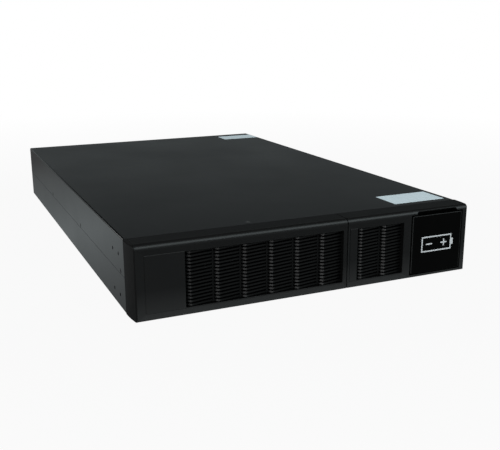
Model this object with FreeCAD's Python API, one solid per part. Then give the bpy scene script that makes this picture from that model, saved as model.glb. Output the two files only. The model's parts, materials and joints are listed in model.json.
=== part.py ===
import FreeCAD, Part
import math
import os

# Rack battery module, two rack units high: sealed batteries in a folded steel case with a moulded louvred
# front. Millimetres. x runs across, y from the front to the back, z up.
# It is laid out with the front face of the mouldings at y = 0 and is centred when it is written.

V = FreeCAD.Vector
right = V(1, 0, 0)
back = V(0, 1, 0)
up = V(0, 0, 1)

# Batteries: sealed 12 V blocks lying on their sides, tops facing a terminal aisle
battery_length = 151.0
battery_height = 94.0
battery_thickness = 65.0
battery_gap = 1.0
battery_rows = 3
battery_edge = 2.5
lid_depth = 16.0
lid_step = 0.8
tab_width = 6.35
tab_thickness = 0.8
tab_reach = 6.0
tab_inset = 16.0
tab_from_edge = 12.0

# Battery trays, side by side on the case floor
tray_sheet = 1.0
tray_wall = 25.0
tray_gap = 4.0
terminal_aisle = 20.0
tray_lip_width = 30.0
tray_lip_length = 14.0
tray_lip_inset = 34.0

# Folded steel case
sheet = 1.2
bend_radius = 2.0
seam_height = 42.0
seam_gap = 0.4
lap_height = 12.0
fit_gap = 0.2
front_flange = 20.0
rear_flange = 22.0
front_room = 84.0
rear_room = 129.0
side_room = 2.9

# Bars that hold the batteries down, on foam
bar_sheet = 1.5
bar_width = 70.0
bar_height = 11.5
bar_tab_width = 30.0
bar_tab_below_screw = 8.0
foam_thickness = 4.0
foam_width = 58.0
head_room = 2.1

# Front mouldings
bezel_depth = 30.0
bezel_wall = 2.8
bezel_lift = 0.6
bezel_joint = 0.4
bezel_top_radius = 6.0
bezel_low_radius = 0.8
bezel_inner_radius = 0.4
bezel_corner_radius = 1.6
bezel_side_inset = 3.0
split_gap = 1.2
rib_thickness = 2.0
rib_setback = 4.0
tongue_height = 12.0
tongue_reach = 8.0
tongue_inset = 9.0
tongue_low = 14.0
tongue_rise = 46.0
tongue_clearance = 0.4

# Dished border and raised panel of the front face
border_depth = 1.2
border_side = 6.0
border_low = 1.0
border_rim = 0.6
border_split = 2.4
panel_rise = 0.45
panel_ledge = 0.6
panel_rim = 0.5
panel_side = 14.5

# Louvre fields: banks of horizontal slats, each bank sloping back from a proud left end
column_width = 32.85
left_columns = 6
right_columns = 2
slat_count = 16
slat_share = 0.5
slat_peak = 1.2
slat_valley = 6.5
slat_back = 9.5
slat_lead = 1.4
slat_rise = 4.6
slat_lean = 0.9
field_low = 8.6
field_top_margin = 13.4
field_frame = 1.6
field_to_split = 5.0
split_to_field = 14.0
field_to_socket = 10.0
mullion_width = 1.8
mullion_depth = 2.7

# Square badge that pulls out of a socket, and the finger scoop above it
badge_low = 5.0
badge_top_margin = 7.0
badge_side_margin = 11.2
badge_gap = 1.6
badge_proud = 0.6
badge_plate = 3.0
badge_edge_radius = 1.2
badge_corner_radius = 2.0
badge_skirt_inset = 2.0
badge_skirt_wall = 2.0
badge_rib_width = 3.0
badge_rib_inset = 16.0
badge_rib_gap = 0.3
socket_wall = 1.8
socket_depth = 16.0
scoop_side = 7.0
scoop_roof = 1.9
scoop_depth = 8.0
scoop_radius = 3.0

# Service door behind the front cover, and the air windows
door_side = 24.0
door_split = 18.0
door_margin = 9.0
door_lap = 8.0
door_window_count = 6
window_rows = 3
window_width = 24.0
window_height = 11.0

# Screws and their holes
screw_radius = 1.5
screw_clearance = 0.2
thread_clearance = 0.05
screw_head_radius = 2.8
screw_head = 1.4
side_screw_length = 6.5
short_screw_length = 5.0
screw_above_seam = 3.4
front_screw_inset = 16.0
rear_screw_inset = 14.0
top_screw_x = -69.0
top_screw_inset = 8.0
top_screw_rise = 0.4
top_screw_crown = 1.6
ear_hole_radius = 2.2
ear_hole_inset = 23.0
ear_pitch_y = 25.0
ear_pitch_z = 48.0
ear_hole_low = 15.5

# Straps, leads, fuses and bus bars
strap_thickness = 0.8
strap_gap = 0.2
lead_width = 6.0
lead_thickness = 2.5
lead_bend = 12.0
lead_spacing = 12.0
lead_height = 35.0
lead_rise_start = 19.0
bus_thickness = 3.0
bus_height = 12.0
bus_end = 6.0
positive_bus_from_rear = 48.0
negative_bus_from_rear = 60.0
output_bus_from_rear = 32.0
standoff_radius = 5.0
standoff_span = 110.0
fuse_block_width = 20.0
fuse_block_height = 20.0
fuse_block_room = 14.0
fuse_strip_width = 12.0
fuse_strip = 2.0
fuse_strip_inset = 2.0
fuse_body_width = 15.0
fuse_body_length = 26.0
fuse_body_height = 10.0
fuse_tab_rise = 16.0

# Rear panel fittings
rear_projection = 12.0
rear_centre = 43.0
port_x = 20.0
port_pitch = 80.0
port_width = 20.0
port_height = 40.0
port_inside = 22.0
port_wall = 3.0
port_mouth_depth = 16.0
port_corner_radius = 2.0
port_ear = 10.0
port_ear_thickness = 2.5
contact_width = 8.0
contact_thickness = 2.0
contact_reach = 7.0
contact_spacing = 17.0
breaker_from_side = 69.0
breaker_width = 36.0
breaker_height = 44.0
breaker_depth = 40.0
breaker_face_width = 26.0
breaker_face_height = 34.0
breaker_face_rise = 2.5
toggle_width = 9.6
toggle_side_gap = 0.4
toggle_slot_height = 26.0
toggle_slot_depth = 16.0
toggle_pivot_depth = 4.0
toggle_hub_radius = 4.5
toggle_root_thickness = 5.0
toggle_tip_thickness = 3.4
toggle_reach = 13.5
toggle_rest_angle = 22.0
toggle_pin_radius = 1.5
toggle_pin_hold = 3.0
toggle_bore_gap = 0.08
post_radius = 4.0
post_reach = 8.0
ground_from_side = 109.0
ground_height = 24.0
ground_radius = 2.5
ground_head_radius = 4.75
ground_head = 3.2
ground_length = 9.0
washer_radius = 5.5
washer_thickness = 1.0
vent_from_side = 51.0
vent_columns = 3
vent_rows = 7
vent_length = 18.0
vent_height = 4.0
vent_pitch_x = 24.0
vent_pitch_z = 8.5

# Sizes that follow from the ones above
tray_width = 2 * battery_height + terminal_aisle + 2 * tray_sheet
tray_length = battery_rows * battery_length + (battery_rows - 1) * battery_gap + 2 * tray_sheet
half_width = tray_gap / 2 + tray_width + side_room + bar_sheet + fit_gap + 2 * sheet
battery_floor = sheet + tray_sheet
battery_top = battery_floor + battery_thickness
bar_floor = battery_top + foam_thickness
body_height = bar_floor + bar_height + head_room + sheet
case_front = bezel_depth
tray_front = case_front + front_room
tray_back = tray_front + tray_length
case_back = tray_back + rear_room
aisle_x = tray_gap / 2 + tray_width / 2
plate_half = half_width - 2 * sheet - fit_gap
plate_low = sheet + fit_gap
plate_high = body_height - sheet - fit_gap
centre_y = (case_back + rear_projection - badge_proud) / 2

badge_size = body_height - badge_low - badge_top_margin
badge_high = badge_low + badge_size
badge_right = half_width - badge_side_margin
badge_left = badge_right - badge_size
socket_left = badge_left - badge_gap
socket_right = badge_right + badge_gap
socket_low = badge_low - badge_gap
socket_high = badge_high + badge_gap
socket_floor = socket_depth - socket_wall
right_field_end = socket_left - field_to_socket
right_field = right_field_end - right_columns * column_width
split_x = right_field - split_to_field
cover_edge = split_x - split_gap / 2
bezel_edge = split_x + split_gap / 2
left_field_end = split_x - field_to_split
left_field = left_field_end - left_columns * column_width
field_high = body_height - field_top_margin
slat_pitch = (field_high - field_low) / slat_count

screw_height = seam_height + screw_above_seam
first_screw = case_front + front_screw_inset
last_screw = case_back - rear_screw_inset
screw_rows = [first_screw + i * (last_screw - first_screw) / 3 for i in range(4)]
ear_rows = (case_front + ear_hole_inset, case_front + ear_hole_inset + ear_pitch_y)
ear_hole_high = ear_hole_low + ear_pitch_z
tongue_levels = (tongue_low, tongue_low + tongue_rise)
tongue_end = bezel_depth + tongue_reach
cover_tongues = (tongue_inset - half_width, cover_edge - rib_thickness / 2)
bezel_tongues = (bezel_edge + rib_thickness / 2, socket_right + rib_thickness / 2)

door_x0 = door_side - half_width
door_x1 = split_x - door_split
door_z0 = plate_low + door_margin
door_z1 = plate_high - door_margin
window_low = door_z0 + door_lap
window_pitch_z = (door_z1 - door_lap - window_low) / window_rows
window_pitch_x = (door_x1 - door_x0 - 2 * door_lap) / door_window_count

lip_places = [s * (aisle_x + t * (tray_width / 2 - tray_lip_inset)) for s in (-1, 1) for t in (-1, 1)]
lip_screw_y = tray_front - tray_lip_length / 2
tab_height = battery_top - tab_from_edge
lead_start = tab_height - tab_width / 2
positive_bus_y = case_back - positive_bus_from_rear
negative_bus_y = case_back - negative_bus_from_rear
output_bus_y = case_back - output_bus_from_rear
fuse_front = tray_back + fuse_block_room
fuse_x = aisle_x - lead_spacing / 2
negative_contact = rear_centre + contact_spacing / 2
positive_contact = rear_centre - contact_spacing / 2
vent_x = vent_from_side - half_width
ground_x = ground_from_side - half_width
breaker_x = half_width - breaker_from_side
breaker_back = case_back - sheet
breaker_front = breaker_back - breaker_depth
breaker_side = breaker_x - breaker_width / 2
input_post_x = breaker_x - breaker_width / 4
port_places = (port_x, port_x - port_pitch)
pivot = V(breaker_x, case_back - toggle_pivot_depth, rear_centre)
port_screw_offset = port_height / 2 + port_ear / 2


# Helpers

def box(x0, x1, y0, y1, z0, z1):
    return Part.makeBox(x1 - x0, y1 - y0, z1 - z0, V(x0, y0, z0))


def rod(radius, start, way, length):
    return Part.makeCylinder(radius, length, start, way)


def prism(points, way):
    return Part.Face(Part.makePolygon(points + [points[0]])).extrude(way)


def tiered(rings):
    # A solid through rings of matching corners, one above the other.
    faces = [Part.Face(Part.makePolygon(ring + ring[:1])) for ring in (rings[0], rings[-1])]
    for under, over in zip(rings, rings[1:]):
        for a, b, c, d in zip(under, under[1:] + under[:1], over[1:] + over[:1], over):
            faces.append(Part.Face(Part.makePolygon([a, b, c, d, a])))
    solid = Part.makeSolid(Part.makeShell(faces))
    if solid.Volume < 0:
        solid.reverse()
    return solid


def joined(shapes):
    return shapes[0].multiFuse(shapes[1:]).removeSplitter()


def mirrored(shape):
    return shape.mirror(V(0, 0, 0), right)


def near(a, b):
    return abs(a - b) < 1e-6


def edges_along(shape, way, test):
    # The straight edges that run along one axis and whose ends pass a test.
    found = []
    for edge in shape.Edges:
        points = [vertex.Point for vertex in edge.Vertexes]
        if len(points) == 2 and near(abs((points[1] - points[0]).dot(way)), edge.Length):
            if all(test(point) for point in points):
                found.append(edge)
    return found


def rounded(block, radius, way, test=lambda point: True):
    return block.makeFillet(radius, edges_along(block, way, test))


def bevelled(block, width, way):
    return block.makeChamfer(width, edges_along(block, way, lambda point: True))


def write(name, shape):
    placed = shape.copy()
    placed.translate(V(0, -centre_y, 0))
    placed.exportStep("parts/" + name + ".step")


# Screws: the point is on the seat under the head, and the shank runs along way

def pan_screw(point, way, length):
    return joined([rod(screw_head_radius, point, way * -1, screw_head), rod(screw_radius, point, way, length)])


def flush_screw(point, way, length, grow=0.0):
    # A countersunk head as deep as the sheet; grown, it is the hole for it.
    head = Part.makeCone(screw_head_radius + grow, screw_radius + grow, sheet, point, way)
    return joined([head, rod(screw_radius + grow, point, way, length)])


def side_screw_set(grow=0.0):
    screws = []
    for side in (-1, 1):
        for y in screw_rows:
            point = V(side * half_width, y, screw_height)
            screws.append(flush_screw(point, right * -side, side_screw_length, grow))
    return screws


def top_screw(grow=0.0):
    point = V(top_screw_x, case_front + top_screw_inset, body_height)
    screw = flush_screw(point, up * -1, short_screw_length, grow)
    crown = Part.makeCone(screw_head_radius + grow, top_screw_crown + grow, top_screw_rise, point, up)
    return joined([screw, crown])


def cross_holes(radius, places, height):
    # Holes straight through both side walls.
    return [rod(radius, V(-half_width - 1, y, height), right, 2 * half_width + 2) for y in places]


# Folded case

def channel(web, rim):
    # A sheet folded up at both sides of its web, as long as the case.
    step = math.copysign(1, rim - web)
    inside = half_width - sheet
    inner_web = web + step * sheet
    inner_rim = rim + step
    outer = box(-half_width, half_width, case_front, case_back, min(web, rim), max(web, rim))
    outer = rounded(outer, bend_radius, back, lambda point: near(point.z, web))
    inner = box(-inside, inside, case_front - 1, case_back + 1,
                min(inner_web, inner_rim), max(inner_web, inner_rim))
    inner = rounded(inner, bend_radius - sheet, back, lambda point: near(point.z, inner_web))
    return outer.cut(inner)


def base_tray():
    rim = seam_height - seam_gap / 2
    inside = half_width - sheet
    lap = box(inside - sheet, inside, case_front, case_back, rim - sheet, rim + lap_height)
    tray = joined([channel(0, rim), lap, mirrored(lap)])
    holes = cross_holes(screw_radius + screw_clearance, screw_rows, screw_height)
    holes += cross_holes(ear_hole_radius, ear_rows, ear_hole_low)
    for x in lip_places:
        holes.append(rod(screw_radius + thread_clearance, V(x, lip_screw_y, -1), up, sheet + 2))
    return tray.cut(holes)


def top_cover():
    holes = side_screw_set(thread_clearance)
    holes += cross_holes(ear_hole_radius, ear_rows, ear_hole_high)
    holes.append(top_screw(thread_clearance))
    return channel(body_height, seam_height + seam_gap / 2).cut(holes)


def pan(y0, y1, inner_y0, inner_y1):
    # A plate with a flange folded all round its edge.
    outer = box(-plate_half, plate_half, y0, y1, plate_low, plate_high)
    inner = box(sheet - plate_half, plate_half - sheet, inner_y0, inner_y1, plate_low + sheet, plate_high - sheet)
    return outer.cut(inner)


def air_windows(first_x, pitch, count, y0):
    cuts = []
    for column in range(count):
        x = first_x + (column + 0.5) * pitch
        for row in range(window_rows):
            z = window_low + (row + 0.5) * window_pitch_z
            cuts.append(box(x - window_width / 2, x + window_width / 2, y0 - 1, y0 + sheet + 1,
                            z - window_height / 2, z + window_height / 2))
    return cuts


def door_screw_points(y):
    margin = door_lap / 2
    return [V(x, y, z) for x in (door_x0 + margin, door_x1 - margin) for z in (door_z0 + margin, door_z1 - margin)]


def front_plate():
    plate = pan(case_front, case_front + front_flange, case_front + sheet, case_front + front_flange + 1)
    cuts = air_windows(right_field, column_width, right_columns, case_front)
    cuts.append(box(door_x0 + door_lap, door_x1 - door_lap, case_front - 1, case_front + sheet + 1,
                    door_z0 + door_lap, door_z1 - door_lap))
    reach = rib_thickness / 2 + tongue_clearance
    for x in cover_tongues + bezel_tongues:
        for z in tongue_levels:
            cuts.append(box(x - reach, x + reach, case_front - 1, case_front + sheet + 1,
                            z - tongue_clearance, z + tongue_height + tongue_clearance))
    for point in door_screw_points(case_front - 1):
        cuts.append(rod(screw_radius + thread_clearance, point, back, sheet + 2))
    cuts += cross_holes(screw_radius + thread_clearance, screw_rows[:1], screw_height)
    cuts.append(rod(screw_radius + thread_clearance,
                    V(top_screw_x, case_front + top_screw_inset, body_height), up * -1, short_screw_length))
    return plate.cut(cuts)


def battery_door():
    door = box(door_x0, door_x1, case_front - sheet, case_front, door_z0, door_z1)
    cuts = air_windows(door_x0 + door_lap, window_pitch_x, door_window_count, case_front - sheet)
    for point in door_screw_points(case_front - sheet - 1):
        cuts.append(rod(screw_radius + screw_clearance, point, back, sheet + 2))
    return door.cut(cuts)


def rear_panel():
    panel = pan(case_back - rear_flange, case_back, case_back - rear_flange - 1, case_back - sheet)
    y0, y1 = case_back - sheet - 1, case_back + 1
    cuts = []
    for x in port_places:
        reach_x, reach_z = port_width / 2 + fit_gap, port_height / 2 + fit_gap
        cuts.append(box(x - reach_x, x + reach_x, y0, y1, rear_centre - reach_z, rear_centre + reach_z))
        for z in (rear_centre - port_screw_offset, rear_centre + port_screw_offset):
            cuts.append(rod(screw_radius + thread_clearance, V(x, y0, z), back, y1 - y0))
    reach_x, reach_z = breaker_face_width / 2 + fit_gap, breaker_face_height / 2 + fit_gap
    cuts.append(box(breaker_x - reach_x, breaker_x + reach_x, y0, y1, rear_centre - reach_z, rear_centre + reach_z))
    cuts.append(rod(ground_radius + thread_clearance, V(ground_x, y0, ground_height), back, y1 - y0))
    for column in range(vent_columns):
        x = vent_x + (column - (vent_columns - 1) / 2) * vent_pitch_x
        for row in range(vent_rows):
            z = rear_centre + (row - (vent_rows - 1) / 2) * vent_pitch_z
            cuts.append(box(x - vent_length / 2, x + vent_length / 2, y0, y1,
                            z - vent_height / 2, z + vent_height / 2))
    cuts += cross_holes(screw_radius + thread_clearance, screw_rows[3:], screw_height)
    return panel.cut(cuts)


# Front mouldings

def bezel_form(offset):
    # The outside of both mouldings together, or the hollow behind them when it is set in by the wall.
    side = half_width - offset
    front = offset
    end = bezel_depth - bezel_joint if offset == 0 else bezel_depth + 1
    low, high = bezel_lift + offset, body_height - offset
    top_radius = bezel_top_radius - offset
    low_radius = max(bezel_low_radius - offset, bezel_inner_radius)
    nose = side - bezel_side_inset
    bulge = side - bezel_side_inset / 4
    middle = (front + end) / 2
    plan = [Part.Arc(V(-side, end, 0), V(-bulge, middle, 0), V(-nose, front, 0)).toShape(),
            Part.makeLine(V(-nose, front, 0), V(nose, front, 0)),
            Part.Arc(V(nose, front, 0), V(bulge, middle, 0), V(side, end, 0)).toShape(),
            Part.makeLine(V(side, end, 0), V(-side, end, 0))]
    across = Part.Face(Part.Wire(plan)).extrude(up * body_height)
    across = rounded(across, bezel_corner_radius, up, lambda point: near(point.y, front))
    bend = 1 - math.sqrt(0.5)
    x = -half_width
    outline = [Part.makeLine(V(x, end, high), V(x, front + top_radius, high)),
               Part.Arc(V(x, front + top_radius, high),
                        V(x, front + bend * top_radius, high - bend * top_radius),
                        V(x, front, high - top_radius)).toShape(),
               Part.makeLine(V(x, front, high - top_radius), V(x, front, low + low_radius)),
               Part.Arc(V(x, front, low + low_radius),
                        V(x, front + bend * low_radius, low + bend * low_radius),
                        V(x, front + low_radius, low)).toShape(),
               Part.makeLine(V(x, front + low_radius, low), V(x, end, low)),
               Part.makeLine(V(x, end, low), V(x, end, high))]
    section = Part.Face(Part.Wire(outline)).extrude(right * (2 * half_width))
    return across.common(section)


def rectangle(x0, x1, z0, z1, y):
    return Part.makePolygon([V(x0, y, z0), V(x1, y, z0), V(x1, y, z1), V(x0, y, z1), V(x0, y, z0)])


def blade_outline(x0, columns, lead):
    # A blade in plan: a saw whose first valley stands the lead inside the field.
    x1 = x0 + columns * column_width
    fall = (slat_valley - slat_peak) / (column_width - slat_rise)
    end_depth = slat_valley - fall * lead
    outline = [V(x0, end_depth, 0)]
    for column in range(columns):
        valley = x0 + lead + column * column_width
        outline += [V(valley, slat_valley, 0), V(valley + slat_rise, slat_peak, 0)]
    return outline + [V(x1, end_depth, 0), V(x1, slat_back, 0), V(x0, slat_back, 0)]


def slats(x0, columns):
    # One field of slats whose left facets lean back, with the uprights behind the valleys between its banks.
    thickness = slat_share * slat_pitch
    low = blade_outline(x0, columns, slat_lead)
    high = [point + up * thickness for point in blade_outline(x0, columns, slat_lead + slat_lean)]
    pieces = []
    for slat in range(slat_count):
        blade = tiered([low, high])
        blade.translate(up * (field_low + slat * slat_pitch + (slat_pitch - thickness) / 2))
        pieces.append(blade)
    for column in range(1, columns):
        x = x0 + slat_lead + column * column_width
        pieces.append(box(x - mullion_width / 2, x + mullion_width / 2, slat_back - mullion_depth, slat_back,
                          field_low, field_high))
    return pieces


def louvred_shell(shell, border, panel, x0, columns):
    # Dish the front of a moulding, raise its panel, and fill the window in it with slats.
    x1 = x0 + columns * column_width
    panel_low, panel_high = field_low - panel_rim, field_high + panel_rim
    frame = box(x0 - field_frame, x1 + field_frame, border_depth, slat_back,
                field_low - field_frame, field_high + field_frame)
    mouth = rectangle(border[0], border[1], bezel_lift + border_low,
                      body_height - bezel_top_radius - border_rim, 0)
    foot = rectangle(panel[0] - panel_ledge, panel[1] + panel_ledge,
                     panel_low - panel_ledge, panel_high + panel_ledge, border_depth)
    raised = box(panel[0], panel[1], border_depth - panel_rise, bezel_wall, panel_low, panel_high)
    window = box(x0, x1, -1, slat_back + 1, field_low, field_high)
    dished = joined([shell, frame]).cut(Part.makeLoft([mouth, foot], True))
    return joined([joined([dished, raised]).cut(window)] + slats(x0, columns))


def tongue(x, y0):
    blades = []
    for z in tongue_levels:
        blades.append(box(x - rib_thickness / 2, x + rib_thickness / 2, y0, tongue_end, z, z + tongue_height))
    return blades


def front_cover(form, shell):
    part = shell.common(box(-half_width - 1, cover_edge, -1, bezel_depth + 1, 0, body_height))
    rib = form.common(box(cover_edge - rib_thickness, cover_edge, 0, bezel_depth - rib_setback, 0, body_height))
    border = (border_side - half_width, cover_edge - border_rim)
    panel = (panel_side - half_width, left_field_end + panel_rim)
    cover = louvred_shell(joined([part, rib]), border, panel, left_field, left_columns)
    return joined([cover] + tongue(cover_tongues[0], bezel_wall / 2) + tongue(cover_tongues[1], bezel_wall))


def side_bezel(form, shell):
    part = shell.common(box(bezel_edge, half_width + 1, -1, bezel_depth + 1, 0, body_height))
    rib = form.common(box(bezel_edge, bezel_edge + rib_thickness, 0, bezel_depth - rib_setback, 0, body_height))
    socket = form.common(box(socket_left - socket_wall, socket_right + socket_wall, 0, socket_depth,
                             socket_low - socket_wall, socket_high + socket_wall))
    hollow = box(socket_left, socket_right, -1, socket_floor, socket_low, socket_high)
    scoop = box(badge_left + scoop_side, badge_right - scoop_side, -1, scoop_depth,
                badge_high, body_height - scoop_roof)
    scoop = rounded(scoop, scoop_radius, back, lambda point: point.z > badge_high + 1)
    border = (bezel_edge + border_rim, socket_left - socket_wall)
    panel = (bezel_edge + border_rim + border_split + panel_ledge, right_field_end + panel_rim)
    bezel = louvred_shell(joined([part, rib, socket]), border, panel, right_field, right_columns)
    bezel = joined([bezel] + tongue(bezel_tongues[0], bezel_wall) + tongue(bezel_tongues[1], bezel_wall))
    return bezel.cut([hollow, scoop])


def badge_panel():
    y0, y1 = -badge_proud, badge_plate - badge_proud
    plate = rounded(box(badge_left, badge_right, y0, y1, badge_low, badge_high), badge_corner_radius, back)
    rim = [edge for edge in plate.Edges if all(near(vertex.Point.y, y0) for vertex in edge.Vertexes)]
    plate = plate.makeFillet(badge_edge_radius, rim)
    inset = badge_skirt_inset
    hollow = inset + badge_skirt_wall
    skirt = box(badge_left + inset, badge_right - inset, y1, socket_floor, badge_low + inset, badge_high - inset)
    skirt = skirt.cut(box(badge_left + hollow, badge_right - hollow, y1, socket_floor + 1,
                          badge_low + hollow, badge_high - hollow))
    ribs = []
    middle_x, middle_z = (badge_left + badge_right) / 2, (badge_low + badge_high) / 2
    reach = badge_size / 2 + badge_gap - badge_rib_gap
    root = badge_size / 2 - inset
    for offset in (badge_rib_inset - root, root - badge_rib_inset):
        a, b = offset - badge_rib_width / 2, offset + badge_rib_width / 2
        ribs.append(box(middle_x + a, middle_x + b, y1, socket_floor, middle_z - reach, middle_z - root))
        ribs.append(box(middle_x + root, middle_x + reach, y1, socket_floor, middle_z + a, middle_z + b))
        ribs.append(box(middle_x - reach, middle_x - root, y1, socket_floor, middle_z + a, middle_z + b))
    return joined([plate, skirt] + ribs)


# Batteries, trays and what holds them; each is made for the left tray and mirrored for the right

def row_start(row):
    return tray_front + tray_sheet + row * (battery_length + battery_gap)


def battery(foot, way, row):
    # A block standing on its foot plane, its lid and tabs towards way along x.
    y0 = row_start(row)
    y1 = y0 + battery_length
    shoulder = foot + way * (battery_height - lid_depth)
    top = foot + way * battery_height
    tip = top + way * tab_reach
    case = box(min(foot, shoulder), max(foot, shoulder), y0, y1, battery_floor, battery_top)
    case = bevelled(case, battery_edge, right)
    lid = box(min(shoulder, top), max(shoulder, top), y0 + lid_step, y1 - lid_step,
              battery_floor + lid_step, battery_top - lid_step)
    pieces = [case, bevelled(lid, battery_edge, right)]
    for y in (y0 + tab_inset, y1 - tab_inset):
        pieces.append(box(min(top, tip), max(top, tip), y - tab_thickness / 2, y + tab_thickness / 2,
                          tab_height - tab_width / 2, tab_height + tab_width / 2))
    return joined(pieces)


outer_foot = tray_sheet - tray_gap / 2 - tray_width
inner_foot = -tray_gap / 2 - tray_sheet
outer_top = outer_foot + battery_height
inner_top = inner_foot - battery_height


def left_batteries():
    column = [battery(outer_foot, 1, row) for row in range(battery_rows)]
    return column + [battery(inner_foot, -1, row) for row in range(battery_rows)]


def left_tray():
    x0, x1 = -tray_gap / 2 - tray_width, -tray_gap / 2
    walls = box(x0, x1, tray_front, tray_back, sheet, sheet + tray_wall)
    walls = walls.cut(box(x0 + tray_sheet, x1 - tray_sheet, tray_front + tray_sheet, tray_back - tray_sheet,
                          battery_floor, sheet + tray_wall + 1))
    pieces = [walls]
    for x in lip_places[:2]:
        pieces.append(box(x - tray_lip_width / 2, x + tray_lip_width / 2, tray_front - tray_lip_length, tray_front,
                          sheet, battery_floor))
    holes = [rod(screw_radius + screw_clearance, V(x, lip_screw_y, 0), up, sheet + tray_wall) for x in lip_places]
    return joined(pieces).cut(holes)


def left_straps():
    # Straps from block to block down each column, and one across the aisle at the last row.
    z0, z1 = tab_height - tab_width / 2, tab_height + tab_width / 2
    half_tab = tab_thickness / 2
    straps = []
    for top, way in ((outer_top, 1), (inner_top, -1)):
        root = top + way * strap_gap
        inner = top + way * (tab_reach + strap_gap)
        outer = inner + way * strap_thickness
        for row in range(battery_rows - 1):
            y0 = row_start(row) + battery_length - tab_inset + half_tab
            y1 = row_start(row + 1) + tab_inset - half_tab
            web = box(min(inner, outer), max(inner, outer), y0, y1, z0, z1)
            first = box(min(root, outer), max(root, outer), y0, y0 + strap_thickness, z0, z1)
            second = box(min(root, outer), max(root, outer), y1 - strap_thickness, y1, z0, z1)
            straps.append(joined([web, first, second]))
    y = row_start(battery_rows - 1) + battery_length - tab_inset + half_tab
    straps.append(box(outer_top + strap_gap, inner_top - strap_gap, y, y + strap_thickness, z0, z1))
    return Part.makeCompound(straps)


def hold_down_bar(y):
    y0, y1 = y - bar_width / 2, y + bar_width / 2
    web = box(-plate_half, plate_half, y0, y1, bar_floor, bar_floor + bar_sheet)
    front_lip = box(-plate_half, plate_half, y0, y0 + bar_sheet, bar_floor, bar_floor + bar_height)
    back_lip = box(-plate_half, plate_half, y1 - bar_sheet, y1, bar_floor, bar_floor + bar_height)
    tab = box(plate_half - bar_sheet, plate_half, y - bar_tab_width / 2, y + bar_tab_width / 2,
              screw_height - bar_tab_below_screw, bar_floor)
    bar = joined([web, front_lip, back_lip, tab, mirrored(tab)])
    return bar.cut(cross_holes(screw_radius + thread_clearance, [y], screw_height))


def foam_strip(y):
    return box(outer_foot, -outer_foot, y - foam_width / 2, y + foam_width / 2, battery_top, bar_floor)


# Wiring

def lead(points):
    # A flat insulated lead through the points, which starts upright; each corner is turned with its bend.
    edges = []
    start = points[0]
    for before, corner, after in zip(points, points[1:], points[2:]):
        a = (before - corner).normalize()
        b = (after - corner).normalize()
        half_angle = a.getAngle(b) / 2
        cut = lead_bend / math.tan(half_angle)
        middle = (a + b).normalize() * (lead_bend / math.sin(half_angle) - lead_bend)
        edges.append(Part.makeLine(start, corner + a * cut))
        edges.append(Part.Arc(corner + a * cut, corner + middle, corner + b * cut).toShape())
        start = corner + b * cut
    edges.append(Part.makeLine(start, points[-1]))
    side, face = right * (lead_width / 2), back * (lead_thickness / 2)
    corners = [points[0] - side - face, points[0] + side - face, points[0] + side + face, points[0] - side + face]
    section = Part.makePolygon(corners + corners[:1])
    return Part.Wire(edges).makePipeShell([section], True, False)


def left_positive_lead():
    x = lead_spacing / 2 - aisle_x
    y = row_start(0) + tab_inset
    end = fuse_front + fuse_strip_inset
    return lead([V(x, y, lead_start), V(x, y, lead_height), V(x, end, lead_height)])


def left_negative_lead():
    x = -lead_spacing / 2 - aisle_x
    y = row_start(0) + tab_inset
    rise = negative_contact - lead_height
    bend = tray_back + lead_rise_start
    return lead([V(x, y, lead_start), V(x, y, lead_height), V(x, bend, lead_height),
                 V(x, bend + rise, negative_contact), V(x, negative_bus_y, negative_contact)])


def left_fuse_block():
    return box(-fuse_x - fuse_block_width / 2, fuse_block_width / 2 - fuse_x, fuse_front,
               positive_bus_y - fuse_strip_inset, sheet, sheet + fuse_block_height)


def left_fuse_link():
    seat = sheet + fuse_block_height
    y0, y1 = fuse_front + fuse_strip_inset, positive_bus_y
    x0, x1 = -fuse_x - fuse_strip_width / 2, fuse_strip_width / 2 - fuse_x
    middle = (y0 + y1) / 2
    strip = box(x0, x1, y0, y1, seat, seat + fuse_strip)
    front_tab = box(x0, x1, y0, y0 + fuse_strip, seat, seat + fuse_tab_rise)
    back_tab = box(x0, x1, y1 - fuse_strip, y1, seat, seat + fuse_tab_rise)
    body = box(-fuse_x - fuse_body_width / 2, fuse_body_width / 2 - fuse_x, middle - fuse_body_length / 2,
               middle + fuse_body_length / 2, seat, seat + fuse_body_height)
    return joined([strip, front_tab, back_tab, body])


def bus(x0, x1, y, z):
    return box(x0, x1, y, y + bus_thickness, z - bus_height / 2, z + bus_height / 2)


def bus_standoffs():
    posts = []
    for y, z in ((positive_bus_y, lead_height), (negative_bus_y, negative_contact),
                 (output_bus_y, positive_contact)):
        for x in (-standoff_span / 2, standoff_span / 2):
            corners = []
            for corner in range(6):
                angle = math.radians(60 * corner)
                corners.append(V(x + standoff_radius * math.cos(angle),
                                 y + bus_thickness / 2 + standoff_radius * math.sin(angle), sheet))
            posts.append(prism(corners, up * (z - bus_height / 2 - sheet)))
    return Part.makeCompound(posts)


# Rear panel fittings

def contact_blade(x, z, y0, grow=0.0):
    reach_x, reach_z = contact_width / 2 + grow, contact_thickness / 2 + grow
    tip = case_back + rear_projection - port_mouth_depth + contact_reach
    return box(x - reach_x, x + reach_x, y0, tip, z - reach_z, z + reach_z)


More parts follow.
